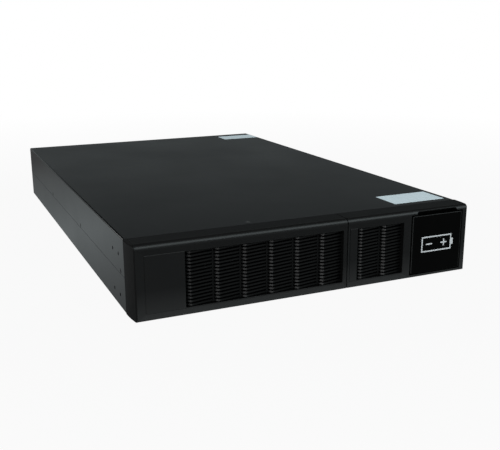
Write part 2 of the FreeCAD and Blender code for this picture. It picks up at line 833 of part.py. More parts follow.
def port_housing(x):
    end = case_back + rear_projection
    half_x, half_z = port_width / 2, port_height / 2
    ear_z = half_z + port_ear
    shell = box(x - half_x, x + half_x, case_back - port_inside, end, rear_centre - half_z, rear_centre + half_z)
    shell = rounded(shell, port_corner_radius, back)
    ears = box(x - half_x, x + half_x, case_back, case_back + port_ear_thickness,
               rear_centre - ear_z, rear_centre + ear_z)
    ears = rounded(ears, port_corner_radius, back)
    mouth = box(x - half_x + port_wall, x + half_x - port_wall, end - port_mouth_depth, end + 1,
                rear_centre - half_z + port_wall, rear_centre + half_z - port_wall)
    cuts = [rounded(mouth, port_corner_radius, back)]
    for z in (negative_contact, positive_contact):
        cuts.append(contact_blade(x, z, case_back - port_inside - 1, thread_clearance))
    for z in (rear_centre - port_screw_offset, rear_centre + port_screw_offset):
        cuts.append(rod(screw_radius + screw_clearance, V(x, case_back - 1, z), back, port_ear_thickness + 2))
    return joined([shell, ears]).cut(cuts)


def port_contacts():
    blades = []
    for x in port_places:
        blades.append(contact_blade(x, negative_contact, negative_bus_y + bus_thickness))
        blades.append(contact_blade(x, positive_contact, output_bus_y + bus_thickness))
    return Part.makeCompound(blades)


def port_screws():
    screws = []
    for x in port_places:
        for z in (rear_centre - port_screw_offset, rear_centre + port_screw_offset):
            screws.append(pan_screw(V(x, case_back + port_ear_thickness, z), back * -1, short_screw_length))
    return Part.makeCompound(screws)


def pin_rod(grow=0.0):
    hold = toggle_width / 2 + toggle_side_gap + toggle_pin_hold + grow
    return rod(toggle_pin_radius + grow, pivot - right * hold, right, 2 * hold)


def breaker_body():
    face_end = case_back + breaker_face_rise
    body = box(breaker_side, breaker_side + breaker_width, breaker_front, breaker_back,
               rear_centre - breaker_height / 2, rear_centre + breaker_height / 2)
    face = box(breaker_x - breaker_face_width / 2, breaker_x + breaker_face_width / 2, breaker_back, face_end,
               rear_centre - breaker_face_height / 2, rear_centre + breaker_face_height / 2)
    half_slot = toggle_width / 2 + toggle_side_gap
    slot = box(breaker_x - half_slot, breaker_x + half_slot, face_end - toggle_slot_depth, face_end + 1,
               rear_centre - toggle_slot_height / 2, rear_centre + toggle_slot_height / 2)
    return joined([body, face]).cut([slot, pin_rod(thread_clearance)])


def breaker_toggle():
    x0 = breaker_x - toggle_width / 2
    hub = rod(toggle_hub_radius, V(x0, pivot.y, pivot.z), right, toggle_width)
    root, tip = toggle_root_thickness / 2, toggle_tip_thickness / 2
    lever = prism([V(x0, pivot.y, pivot.z - root), V(x0, pivot.y + toggle_reach, pivot.z - tip),
                   V(x0, pivot.y + toggle_reach, pivot.z + tip), V(x0, pivot.y, pivot.z + root)],
                  right * toggle_width)
    lever = rounded(lever, 0.4 * toggle_tip_thickness, right, lambda point: near(point.y, pivot.y + toggle_reach))
    lever.rotate(pivot, right, toggle_rest_angle)
    bore = rod(toggle_pin_radius + toggle_bore_gap, V(x0 - 1, pivot.y, pivot.z), right, toggle_width + 2)
    return joined([hub, lever]).cut(bore)


def breaker_posts():
    gap = breaker_front - positive_bus_y - bus_thickness
    feed = rod(post_radius, V(input_post_x, breaker_front - gap, lead_height), back, gap)
    out = rod(post_radius, V(breaker_side - post_reach, output_bus_y + bus_thickness / 2, positive_contact),
              right, post_reach)
    return Part.makeCompound([feed, out])


def ground_washer():
    seat = V(ground_x, case_back, ground_height)
    ring = rod(washer_radius, seat, back, washer_thickness)
    return ring.cut(rod(ground_radius + screw_clearance, seat - back, back, washer_thickness + 2))


def ground_screw():
    seat = V(ground_x, case_back + washer_thickness, ground_height)
    return joined([rod(ground_head_radius, seat, back, ground_head), rod(ground_radius, seat, back * -1, ground_length)])


os.makedirs("parts", exist_ok=True)

moulding_form = bezel_form(0)
moulding_shell = moulding_form.cut(bezel_form(bezel_wall))
write("front_cover", front_cover(moulding_form, moulding_shell))
write("side_bezel", side_bezel(moulding_form, moulding_shell))
write("badge_panel", badge_panel())

write("base_tray", base_tray())
write("top_cover", top_cover())
write("front_plate", front_plate())
write("battery_door", battery_door())
write("rear_panel", rear_panel())
write("side_screws", Part.makeCompound(side_screw_set()))
write("top_screw", top_screw())
door_seats = door_screw_points(case_front - sheet)
write("door_screws", Part.makeCompound([pan_screw(point, back, short_screw_length) for point in door_seats]))
lip_seats = [V(x, lip_screw_y, battery_floor) for x in lip_places]
lip_screw_length = battery_floor - fit_gap
write("tray_screws", Part.makeCompound([pan_screw(point, up * -1, lip_screw_length) for point in lip_seats]))

for number, block in enumerate(left_batteries(), 1):
    write("battery_left_%d" % number, block)
    write("battery_right_%d" % number, mirrored(block))

left_pieces = {
    "battery_tray": left_tray(),
    "series_straps": left_straps(),
    "positive_lead": left_positive_lead(),
    "negative_lead": left_negative_lead(),
    "fuse_block": left_fuse_block(),
    "fuse_link": left_fuse_link(),
}
for name, piece in left_pieces.items():
    write(name + "_left", piece)
    write(name + "_right", mirrored(piece))

for name, place in (("front", screw_rows[1]), ("rear", screw_rows[2])):
    write("hold_down_bar_" + name, hold_down_bar(place))
    write("foam_strip_" + name, foam_strip(place))

negative_end = aisle_x + lead_spacing / 2 + bus_end
write("positive_bus", bus(-fuse_x - bus_end, input_post_x + bus_end, positive_bus_y, lead_height))
write("negative_bus", bus(-negative_end, negative_end, negative_bus_y, negative_contact))
write("output_bus", bus(min(port_places) - bus_end, breaker_side - post_reach, output_bus_y, positive_contact))
write("bus_standoffs", bus_standoffs())

for number, place in enumerate(port_places, 1):
    write("port_housing_%d" % number, port_housing(place))
write("port_contacts", port_contacts())
write("port_screws", port_screws())
write("breaker_body", breaker_body())
write("breaker_toggle", breaker_toggle())
write("toggle_pin", pin_rod())
write("breaker_posts", breaker_posts())
write("ground_washer", ground_washer())
write("ground_screw", ground_screw())
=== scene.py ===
import bmesh
import bpy
import json
import math
from mathutils import Matrix, Vector


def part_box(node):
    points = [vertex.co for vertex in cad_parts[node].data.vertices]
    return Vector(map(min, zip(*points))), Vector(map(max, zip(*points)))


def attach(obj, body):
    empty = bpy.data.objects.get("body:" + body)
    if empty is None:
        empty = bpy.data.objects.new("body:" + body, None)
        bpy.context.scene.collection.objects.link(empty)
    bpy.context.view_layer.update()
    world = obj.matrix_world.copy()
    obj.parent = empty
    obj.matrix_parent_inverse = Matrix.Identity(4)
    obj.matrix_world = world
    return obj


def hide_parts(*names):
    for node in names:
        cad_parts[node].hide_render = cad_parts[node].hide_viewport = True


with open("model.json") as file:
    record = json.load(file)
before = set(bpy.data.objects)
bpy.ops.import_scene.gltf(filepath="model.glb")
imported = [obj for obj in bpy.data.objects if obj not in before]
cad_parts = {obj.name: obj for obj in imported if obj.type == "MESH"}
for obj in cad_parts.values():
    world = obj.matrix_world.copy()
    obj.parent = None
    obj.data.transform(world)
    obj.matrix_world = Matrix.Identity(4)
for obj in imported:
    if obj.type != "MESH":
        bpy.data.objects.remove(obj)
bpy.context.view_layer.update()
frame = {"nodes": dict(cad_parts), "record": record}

nodes = frame["nodes"]
mm = 0.001
print("frame loaded:", len(nodes), "nodes")


class Value:
    # What comes out of a socket; sums on it add Math nodes.
    def __init__(self, look, socket):
        self.look = look
        self.socket = socket

    def math(self, operation, first, second=0.0):
        return self.look.node("ShaderNodeMath", {"operation": operation}, {0: first, 1: second})

    def __add__(self, other):
        return self.math("ADD", self, other)

    def __radd__(self, other):
        return self.math("ADD", other, self)

    def __sub__(self, other):
        return self.math("SUBTRACT", self, other)

    def __rsub__(self, other):
        return self.math("SUBTRACT", other, self)

    def __mul__(self, other):
        return self.math("MULTIPLY", self, other)

    def __rmul__(self, other):
        return self.math("MULTIPLY", other, self)

    def __abs__(self):
        return self.math("ABSOLUTE", self)

    def __lt__(self, other):
        return self.math("LESS_THAN", self, other)

    def __gt__(self, other):
        return self.math("GREATER_THAN", self, other)

    def __or__(self, other):
        return self.math("MAXIMUM", self, other)


class Look:
    # The nodes of one material, or of the world.
    def __init__(self, owner):
        self.owner = owner
        owner.use_nodes = True
        self.tree = owner.node_tree
        self.tree.nodes.clear()

    def node(self, kind, settings=None, inputs=None, output=0):
        made = self.tree.nodes.new(kind)
        for name, setting in (settings or {}).items():
            setattr(made, name, setting)
        for name, value in (inputs or {}).items():
            if isinstance(value, Value):
                self.tree.links.new(value.socket, made.inputs[name])
            else:
                made.inputs[name].default_value = value
        return Value(self, made.outputs[output]) if made.outputs else made

    def place(self, stretch=(1.0, 1.0, 1.0)):
        own = self.node("ShaderNodeTexCoord", output="Object")
        return self.node("ShaderNodeMapping", inputs={"Vector": own, "Scale": stretch})

    def split(self, vector):
        apart = self.node("ShaderNodeSeparateXYZ", inputs={"Vector": vector})
        return [Value(self, output) for output in apart.socket.node.outputs]

    def axes(self):
        return self.split(self.place())

    def noise(self, scale, detail, stretch=(1.0, 1.0, 1.0)):
        return self.node("ShaderNodeTexNoise",
                         inputs={"Vector": self.place(stretch), "Scale": scale, "Detail": detail})

    def ramp(self, value, low, high):
        # 0 below low, 1 above high.
        return self.node("ShaderNodeMapRange", {"clamp": True},
                         {"Value": value, "From Min": low, "From Max": high})

    def tint(self, factor, first, second):
        # Inputs 6 and 7 and output 2 are the Mix node's colours.
        return self.node("ShaderNodeMix", {"data_type": "RGBA"},
                         {0: factor, 6: first, 7: second}, 2)

    def bump(self, height, depth):
        return self.node("ShaderNodeBump", output="Normal",
                         inputs={"Height": height, "Distance": depth, "Strength": 1.0})

    def roughness(self, finish, masks):
        # The finish's own roughness and what each mask adds to it.
        total = finish["roughness"]
        for name, mask in masks.items():
            total = mask * finish[name + "Roughness"] + total
        return total

    def surface(self, inputs):
        shader = self.node("ShaderNodeBsdfPrincipled", inputs=inputs)
        self.node("ShaderNodeOutputMaterial", inputs={"Surface": shader})
        return self.owner


def newLook(name):
    return Look(bpy.data.materials.new(name))


def grey(level, warmth=0.0):
    return (level * (1 + warmth), level, level * (1 - warmth), 1.0)


def within(x, z, halfX, halfZ):
    return (abs(x) < halfX) * (abs(z) < halfZ)


# Finishes; a noise is its scale, its detail and, where it has one, its stretch

# Black paint with faint marks of handling, smoother on the cover's two long folds, which carry a
# dark line of painted shade
powderCoat = {
    "dark": grey(0.0038, -0.06), "pale": grey(0.006, -0.08), "gloss": 0.45, "roughness": 0.22,
    "drift": (9.0, 3.0), "driftRoughness": 0.10,
    "grain": (1500.0, 2.0), "grainRoughness": 0.06, "grainDepth": 0.012 * mm,
    "rub": (90.0, 4.0, (0.3, 1.0, 2.0)), "rubBand": (0.68, 0.80), "rubShare": 0.25,
    "scuffAndLowLight": grey(0.022, -0.03),
    # painted shade: a near-black line along the cover's two long folds
    "foldShade": grey(0.0006), "foldReach": 1.9 * mm, "foldShadeRoughness": -0.17,
}


def powderCoatLook():
    look = newLook("powder_coat")
    drift = look.noise(*powderCoat["drift"])
    grain = look.noise(*powderCoat["grain"])
    rub = look.ramp(look.noise(*powderCoat["rub"]), *powderCoat["rubBand"])
    coat = look.tint(drift, powderCoat["dark"], powderCoat["pale"])
    rubbedAndHighlit = look.tint(rub * powderCoat["rubShare"], coat, powderCoat["scuffAndLowLight"])
    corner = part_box("top_cover")[1]
    x, _, z = look.axes()
    # the folds' mask, for their painted shade and their smoother finish
    foldShade = (abs(x) > corner.x - powderCoat["foldReach"]) * (z > corner.z - powderCoat["foldReach"])
    masks = {"drift": drift, "grain": grain, "foldShade": foldShade}
    return look.surface({"Base Color": look.tint(foldShade, rubbedAndHighlit, powderCoat["foldShade"]),
                         "Roughness": look.roughness(powderCoat, masks),
                         "Specular IOR Level": powderCoat["gloss"],
                         "Normal": look.bump(grain, powderCoat["grainDepth"])})


# The face is paler low down, painted light, and along the raised panels' upper edges, a painted
# highlight. Deeper faces such as the slats are darker, painted shade, and their left-facing ends
# paler, a painted highlight. The facets' roots, the slats' upper sides, the hollows and the
# mouldings' curved sides are darkest, painted shade.
moulded = {
    "dark": grey(0.0072), "pale": grey(0.0102, -0.02), "gloss": 0.24, "roughness": 0.24,
    "drift": (14.0, 3.0), "driftRoughness": 0.08,
    "grain": (2600.0, 1.0), "grainRoughness": 0.08, "grainDepth": 0.004 * mm,
    # painted light: the face paler low down
    "paintedLowLight": grey(0.025), "lowLightRise": (2.0 * mm, 34.0 * mm),
    # painted highlight along the raised panels' upper edges
    "panelHighlight": grey(0.026), "panelTop": 72.8 * mm, "panelLine": 0.3 * mm,
    "panels": ((-204.5 * mm, -159.6 * mm), (46.7 * mm, 56.5 * mm)),
    # painted shade: darker on faces deeper than the front face, as the slats are
    "slat": grey(0.0050), "slatDepth": (1.25 * mm, 1.75 * mm), "slatRoughness": 0.10,
    # painted highlight on the slats' left-facing ends
    "tip": grey(0.020), "tipTurn": (0.5, 0.6), "wallTurn": (0.9, 0.97),     # turned to the left
    # painted shade at the roots of the left-facing ends
    "rootDepth": (4.0 * mm, 4.8 * mm), "rootRoughness": 0.5,
    # painted shade on the slats' upper sides
    "ledgeTurn": (0.5, 0.8), "fieldTop": 73.0 * mm,     # turned up
    # painted shade, near black, in the hollows and on the other shaded places
    "hollow": grey(0.0006), "hollowDepth": (6.8 * mm, 9.0 * mm),
    # painted shade on the mouldings' curved sides, which are also rougher
    "cheek": (214.2 * mm, 214.8 * mm), "cheekRoughness": 0.32,
    "brow": 84.0 * mm, "browRoughness": 0.45,
}


def mouldedLook():
    look = newLook("grained_moulding")
    drift = look.noise(*moulded["drift"])
    grain = look.noise(*moulded["grain"])
    x, y, z = look.axes()
    facing = look.split(look.node("ShaderNodeNewGeometry", output="Normal"))
    left, up = 0 - facing[0], facing[2]
    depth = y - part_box("front_cover")[0].y
    # painted light: paler low down, fading out upwards
    scuffAndLowLight = 1 - look.ramp(z, *moulded["lowLightRise"])
    # painted highlight: a thin line along each raised panel's upper edge
    line = sum(within(x - (start + end) / 2, z - moulded["panelTop"],
                      (end - start) / 2, moulded["panelLine"])
               for start, end in moulded["panels"])
    # painted shade on everything set back behind the front face
    slat = look.ramp(depth, *moulded["slatDepth"])
    # the slats' left-facing ends, for their painted highlight and the painted shade at their roots
    riser = look.ramp(left, *moulded["tipTurn"]) * (1 - look.ramp(left, *moulded["wallTurn"]))
    # painted shade deep at the roots of the left-facing ends
    root = riser * look.ramp(depth, *moulded["rootDepth"])
    ledge = look.ramp(up, *moulded["ledgeTurn"]) * slat * (z < moulded["fieldTop"])
    hollow = look.ramp(depth, *moulded["hollowDepth"])
    cheek = look.ramp(abs(x), *moulded["cheek"])
    brow = cheek * (z > moulded["brow"])
    face = look.tint(scuffAndLowLight, look.tint(drift, moulded["dark"], moulded["pale"]), moulded["paintedLowLight"])
    face = look.tint(line, face, moulded["panelHighlight"])
    # the slats darker by painted shade, their left-facing ends paler by a painted highlight
    blade = look.tint(riser * slat, look.tint(slat, face, moulded["slat"]), moulded["tip"])
    # painted shade: roots, upper sides, hollows and curved sides take the darkest colour
    shaded = hollow | cheek | root | ledge
    masks = {"drift": drift, "grain": grain, "slat": slat, "root": root, "cheek": cheek,
             "brow": brow}
    return look.surface({"Base Color": look.tint(shaded, blade, moulded["hollow"]),
                         "Roughness": look.roughness(moulded, masks),
                         "Specular IOR Level": moulded["gloss"],
                         "Normal": look.bump(grain, moulded["grainDepth"])})


# The sign on the badge: a cell with its two poles
cellSign = {"ink": grey(0.62, -0.02), "halfWidth": 22.5 * mm, "halfHeight": 10.0 * mm,
            "line": 1.7 * mm, "nubReach": 2.8 * mm, "nubHalf": 4.0 * mm, "poleOffset": 11.0 * mm,
            "poleHalf": 4.6 * mm, "poleLine": 1.7 * mm, "depth": 0.2 * mm}
badgeGloss = {"clean": grey(0.0012), "filmed": grey(0.0022), "gloss": 0.06, "roughness": 0.08,
              "film": (40.0, 4.0), "filmRoughness": 0.06, "inkRoughness": 0.2,
              # painted highlight along the plate's left, lower and right edges
              "edge": grey(0.022), "edgeWidth": 1.2 * mm, "edgeDepth": 0.45 * mm,
              "ribReach": 1.3 * mm}


def badgeLook():
    look = newLook("badge_gloss")
    low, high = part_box("badge_panel")
    centre = (low + high) / 2
    x, y, z = look.axes()
    x = x - centre.x
    z = z - centre.z
    sign = cellSign
    outer = within(x, z, sign["halfWidth"], sign["halfHeight"])
    inner = within(x, z, sign["halfWidth"] - sign["line"], sign["halfHeight"] - sign["line"])
    nub = within(x - (sign["halfWidth"] + sign["nubReach"] / 2), z,
                 sign["nubReach"] / 2, sign["nubHalf"])
    minus = within(x + sign["poleOffset"], z, sign["poleHalf"], sign["poleLine"] / 2)
    plusAcross = within(x - sign["poleOffset"], z, sign["poleHalf"], sign["poleLine"] / 2)
    plusUp = within(x - sign["poleOffset"], z, sign["poleLine"] / 2, sign["poleHalf"])
    front = y < low.y + sign["depth"]
    ink = front * ((outer - inner) | nub | minus | plusAcross | plusUp)
    film = look.noise(*badgeGloss["film"])
    face = look.tint(film, badgeGloss["clean"], badgeGloss["filmed"])
    edge = badgeGloss["edgeWidth"]
    half = (high.x - low.x) / 2 - badgeGloss["ribReach"]      # the ribs reach past the plate
    # painted highlight on the front rim of the plate
    rubbedAndHighlit = 1 - within(x, z - edge / 2, half - edge, half - edge / 2)      # all but the upper edge
    colour = look.tint(rubbedAndHighlit * (y < low.y + badgeGloss["edgeDepth"]), face, badgeGloss["edge"])
    return look.surface({"Base Color": look.tint(ink, colour, sign["ink"]),
                         "Roughness": look.roughness(badgeGloss, {"film": film, "ink": ink}),
                         "Specular IOR Level": badgeGloss["gloss"]})


brightZinc = {"dark": (0.46, 0.47, 0.48, 1.0), "pale": (0.66, 0.67, 0.69, 1.0), "roughness": 0.30,
              "spangle": (120.0, 3.0), "spangleRoughness": 0.10,
              "brushed": (700.0, 2.0, (0.04, 1.0, 1.0)), "brushedRoughness": 0.10,
              "brushedDepth": 0.006 * mm}
dullZinc = dict(brightZinc, dark=grey(0.22), pale=grey(0.34), roughness=0.40)


def zincLook(name, zinc):
    look = newLook(name)
    spangle = look.noise(*zinc["spangle"])
    brushed = look.noise(*zinc["brushed"])
    masks = {"spangle": spangle, "brushed": brushed}
    return look.surface({"Base Color": look.tint(spangle, zinc["dark"], zinc["pale"]),
                         "Metallic": 1.0,
                         "Roughness": look.roughness(zinc, masks),
                         "Normal": look.bump(brushed, zinc["brushedDepth"])})


blackened = {"dark": grey(0.006), "pale": grey(0.016, -0.02), "gloss": 0.2, "roughness": 0.40,
             "patch": (800.0, 3.0), "patchRoughness": 0.15, "patchDepth": 0.01 * mm}


def blackenedLook():
    look = newLook("blackened_steel")
    patch = look.noise(*blackened["patch"])
    return look.surface({"Base Color": look.tint(patch, blackened["dark"], blackened["pale"]),
                         "Roughness": look.roughness(blackened, {"patch": patch}),
                         "Specular IOR Level": blackened["gloss"],
                         "Normal": look.bump(patch, blackened["patchDepth"])})


# What the moulded plastics share: a slow colour drift and a fine skin
plastic = {"gloss": 0.4, "drift": (25.0, 3.0), "driftRoughness": 0.06,
           "skin": (1800.0, 2.0), "skinRoughness": 0.08, "skinDepth": 0.01 * mm}


def plasticLook(name, **own):
    finish = dict(plastic, **own)
    look = newLook(name)
    drift = look.noise(*finish["drift"])
    skin = look.noise(*finish["skin"])
    return look.surface({"Base Color": look.tint(drift, finish["dark"], finish["pale"]),
                         "Roughness": look.roughness(finish, {"drift": drift, "skin": skin}),
                         "Specular IOR Level": finish["gloss"],
                         "Normal": look.bump(skin, finish["skinDepth"])})


copper = {"dark": (0.50, 0.22, 0.11, 1.0), "pale": (0.78, 0.42, 0.24, 1.0), "roughness": 0.28,
          "tarnish": (60.0, 4.0), "tarnishRoughness": 0.15,
          "drawn": (500.0, 2.0, (1.0, 0.05, 1.0)), "drawnRoughness": 0.08, "drawnDepth": 0.005 * mm}


def copperLook():
    look = newLook("bare_copper")
    tarnish = look.noise(*copper["tarnish"])
    drawn = look.noise(*copper["drawn"])
    masks = {"tarnish": tarnish, "drawn": drawn}
    return look.surface({"Base Color": look.tint(tarnish, copper["dark"], copper["pale"]),
                         "Metallic": 1.0,
                         "Roughness": look.roughness(copper, masks),
                         "Normal": look.bump(drawn, copper["drawnDepth"])})


foam = {"dark": grey(0.012), "pale": grey(0.04), "roughness": 0.85,
        "cellScale": 900.0, "cellRoughness": 0.1, "cellDepth": 0.15 * mm}


def foamLook():
    look = newLook("cell_foam")
    cell = look.node("ShaderNodeTexVoronoi",
                     inputs={"Vector": look.place(), "Scale": foam["cellScale"]})
    return look.surface({"Base Color": look.tint(cell, foam["dark"], foam["pale"]),
                         "Roughness": look.roughness(foam, {"cell": cell}),
                         "Normal": look.bump(cell, foam["cellDepth"])})


paper = {"dark": (0.50, 0.59, 0.63, 1.0), "pale": (0.57, 0.66, 0.70, 1.0), "roughness": 0.5,
         "fibre": (300.0, 5.0, (1.0, 0.4, 1.0)),
         "wave": (30.0, 2.0), "waveRoughness": 0.15, "waveDepth": 0.05 * mm}


def paperLook():
    look = newLook("sticker_paper")
    fibre = look.noise(*paper["fibre"])
    wave = look.noise(*paper["wave"])
    return look.surface({"Base Color": look.tint(fibre, paper["dark"], paper["pale"]),
                         "Roughness": look.roughness(paper, {"wave": wave}),
                         "Normal": look.bump(wave, paper["waveDepth"])})


looks = {
    "case_paint": powderCoatLook(),
    "moulding": mouldedLook(),
    "badge_gloss": badgeLook(),
    "plated_steel": zincLook("zinc_plate", brightZinc),
    "black_screw": blackenedLook(),
    "battery_case": plasticLook("battery_case", dark=grey(0.045), pale=grey(0.06, -0.03),
                                roughness=0.5),
    "copper": copperLook(),
    "red_insulation": plasticLook("red_insulation", dark=(0.38, 0.012, 0.010, 1.0),
                                  pale=(0.48, 0.02, 0.015, 1.0), roughness=0.4),
    "black_insulation": plasticLook("black_insulation", dark=grey(0.012), pale=grey(0.02),
                                    roughness=0.4),
    "foam": foamLook(),
    "insulator": plasticLook("moulded_insulator", dark=grey(0.018), pale=grey(0.026),
                             roughness=0.38),
    "toggle_gloss": plasticLook("smooth_toggle", dark=grey(0.010), pale=grey(0.014), roughness=0.22,
                                skin=(900.0, 2.0), skinDepth=0.003 * mm),
    "port_shell": plasticLook("grey_port_shell", dark=grey(0.13, -0.03), pale=grey(0.17, -0.03),
                              roughness=0.42),
}
for part in frame["record"]["subparts"]:
    for holder in nodes[part["node"]].material_slots:
        holder.material = looks[part["material_slot"]]
print("finishes on the frame:", len(looks))


# Small pieces, made as by hand

smoothAngle = math.radians(35)      # flatter edges are shaded smooth


def middle(node):
    return [(low + high) / 2 for low, high in zip(*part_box(node))]


def clearSelection():
    bpy.ops.object.select_all(action="DESELECT")


def activate(piece):
    clearSelection()
    piece.select_set(True)
    bpy.context.view_layer.objects.active = piece


def editAll():
    bpy.ops.object.mode_set(mode="EDIT")
    bpy.ops.mesh.select_all(action="SELECT")


def editFaces(piece, test):
    # Go into edit mode with only the faces that pass a test selected.
    bpy.ops.object.mode_set(mode="EDIT")
    bpy.ops.mesh.select_mode(type="FACE")
    bpy.ops.mesh.select_all(action="DESELECT")
    mesh = bmesh.from_edit_mesh(piece.data)
    for face in mesh.faces:
        face.select_set(test(face))
    bmesh.update_edit_mesh(piece.data)


def leaveEdit():
    bpy.ops.object.mode_set(mode="OBJECT")


def softBar(centre, size, edge):
    # A bar with rounded edges.
    clearSelection()
    bpy.ops.mesh.primitive_cube_add(size=1.0, location=centre)
    bar = bpy.context.object
    bar.scale = size
    bpy.ops.object.transform_apply(location=False, rotation=False, scale=True)
    editAll()
    bpy.ops.mesh.bevel(offset=edge, segments=2)
    leaveEdit()
    return bar


def joinAll(pieces):
    # All become part of the first.
    activate(pieces[0])
    for piece in pieces:
        piece.select_set(True)
    if len(pieces) > 1:
        bpy.ops.object.join()


def settle(piece, name, look, body="case"):
    # Put the piece's place into its mesh, finish it and let it ride.
    activate(piece)
    bpy.ops.object.transform_apply(location=True, rotation=True, scale=True)
    bpy.ops.object.shade_smooth_by_angle(angle=smoothAngle)
    piece.name = name
    piece.data.name = name
    piece.data.materials.clear()
    piece.data.materials.append(look)
    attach(piece, body)


# Bare stickers on the top; setBack is from the front of the mouldings
sticker = {
    "thickness": 0.12 * mm, "corner": 1.6 * mm, "cornerSegments": 4,
    "frontSticker": {"centre": 173.0 * mm, "setBack": 40.0 * mm, "size": (76.0 * mm, 45.0 * mm)},
    "rearSticker": {"centre": 181.5 * mm, "setBack": 641.0 * mm, "size": (69.0 * mm, 39.0 * mm)},
}


def topSticker(name, look):
    spot = sticker[name]
    width, length = spot["size"]
    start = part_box("front_cover")[0].y + spot["setBack"]
    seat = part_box("top_cover")[1].z
    clearSelection()
    bpy.ops.mesh.primitive_plane_add(size=1.0, location=(spot["centre"], start + length / 2, seat))
    plate = bpy.context.object
    plate.scale = (width, length, 1.0)
    bpy.ops.object.transform_apply(location=False, rotation=False, scale=True)
    editAll()
    bpy.ops.mesh.bevel(offset=sticker["corner"], segments=sticker["cornerSegments"],
                       affect="VERTICES")
    bpy.ops.mesh.extrude_region_move(TRANSFORM_OT_translate={"value": (0, 0, sticker["thickness"])})
    bpy.ops.mesh.select_all(action="SELECT")
    bpy.ops.mesh.normals_make_consistent(inside=False)
    leaveEdit()
    settle(plate, name, look)


paperStock = paperLook()
for stickerName in ("frontSticker", "rearSticker"):
    topSticker(stickerName, paperStock)
print("stickers on the top")


# Screws with a cross recess: radii and lengths, the dome's steps in and up,
# and the recess's span, line and depth
screwMake = {"facets": 36, "tipInset": 0.3 * mm, "tipReach": 0.2 * mm, "recessTaper": 0.6}
flushScrew = {"head": 2.8 * mm, "headDepth": 1.2 * mm, "foot": 1.5 * mm, "shank": 1.5 * mm,
              "length": 5.3 * mm, "dome": ((0.2 * mm, 0.0),),
              "recess": (2.9 * mm, 0.75 * mm, 0.8 * mm)}
raisedScrew = dict(flushScrew, length=3.8 * mm,
                   dome=((0.5 * mm, 0.25 * mm), (0.7 * mm, 0.15 * mm)))
panScrew = {"head": 2.8 * mm, "headDepth": 0.9 * mm, "foot": 2.8 * mm, "shank": 1.5 * mm,
            "length": 5.0 * mm, "dome": ((0.3 * mm, 0.3 * mm), (0.6 * mm, 0.2 * mm)),
            "recess": (3.0 * mm, 0.8 * mm, 0.9 * mm)}
earthScrew = {"head": 4.75 * mm, "headDepth": 2.2 * mm, "foot": 4.75 * mm, "shank": 2.5 * mm,
              "length": 9.0 * mm, "dome": ((0.5 * mm, 0.6 * mm), (1.0 * mm, 0.4 * mm)),
              "recess": (5.0 * mm, 1.2 * mm, 1.8 * mm)}


def facesDown(face):
    return face.normal.z < -0.5


def onTop(face):
    return face.normal.z > 0.9 and face.calc_center_median().z > -0.1 * mm


def domeHeight(size):
    return sum(upward for inward, upward in size["dome"])


def cutCross(screw, span, line, depth, top):
    for width, length in ((span, line), (line, span)):
        clearSelection()
        bpy.ops.mesh.primitive_cube_add(size=1.0, location=(0, 0, top))
        bar = bpy.context.object
        bar.scale = (width, length, 2 * depth)
        bpy.ops.object.transform_apply(location=True, rotation=False, scale=True)
        editFaces(bar, facesDown)
        bpy.ops.transform.resize(value=(screwMake["recessTaper"], screwMake["recessTaper"], 1.0))
        leaveEdit()
        activate(screw)
        cut = screw.modifiers.new("recess", "BOOLEAN")
        cut.object = bar
        cut.solver = "EXACT"
        bpy.ops.object.modifier_apply(modifier=cut.name)
        bpy.data.objects.remove(bar)


def crossScrew(size):
    # The rim of the head lies at z = 0 and the shank runs down.
    clearSelection()
    bpy.ops.mesh.primitive_cylinder_add(vertices=screwMake["facets"], radius=size["head"],
                                        depth=size["headDepth"],
                                        location=(0, 0, -size["headDepth"] / 2))
    screw = bpy.context.object
    bpy.ops.object.transform_apply(location=True, rotation=False, scale=False)
    editFaces(screw, facesDown)
    taper = size["foot"] / size["head"]
    bpy.ops.transform.resize(value=(taper, taper, 1.0))
    if size["foot"] > size["shank"]:
        bpy.ops.mesh.inset(thickness=size["foot"] - size["shank"])
    bpy.ops.mesh.extrude_region_move(TRANSFORM_OT_translate={"value": (0, 0, -size["length"])})
    bpy.ops.mesh.inset(thickness=screwMake["tipInset"])
    bpy.ops.transform.translate(value=(0, 0, -screwMake["tipReach"]))
    leaveEdit()
    for inward, upward in size["dome"]:
        editFaces(screw, onTop)
        bpy.ops.mesh.inset(thickness=inward)
        bpy.ops.transform.translate(value=(0, 0, upward))
        leaveEdit()
    cutCross(screw, *size["recess"], domeHeight(size))
    return screw


def setScrews(size, spots, name, node, look):
    # Copies of one screw at each spot, its head facing the spot's way, in place of a node.
    master = crossScrew(size)
    copies = []
    for point, way in spots:
        copy = master.copy()
        copy.data = master.data.copy()
        bpy.context.scene.collection.objects.link(copy)
        turn = Vector(way).to_track_quat("Z", "Y").to_matrix().to_4x4()
        copy.data.transform(Matrix.Translation(point) @ turn)
        copies.append(copy)
    bpy.data.objects.remove(master)
    joinAll(copies)
    settle(copies[0], name, look)
    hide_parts(node)


low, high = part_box("side_screws")
firstRow, lastRow = low.y + flushScrew["head"], high.y - flushScrew["head"]
rowCount = 4
rows = [firstRow + (lastRow - firstRow) * row / (rowCount - 1) for row in range(rowCount)]
level = middle("side_screws")[2]
sideSpots = [((side * high.x, y, level), (side, 0, 0)) for side in (-1, 1) for y in rows]
setScrews(flushScrew, sideSpots, "sideScrewHeads", "side_screws",
          looks["black_screw"])

topSpot = (*middle("top_screw")[:2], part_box("top_cover")[1].z)
setScrews(raisedScrew, [(topSpot, (0, 0, 1))], "topScrewHead", "top_screw",
          zincLook("dull_zinc", dullZinc))

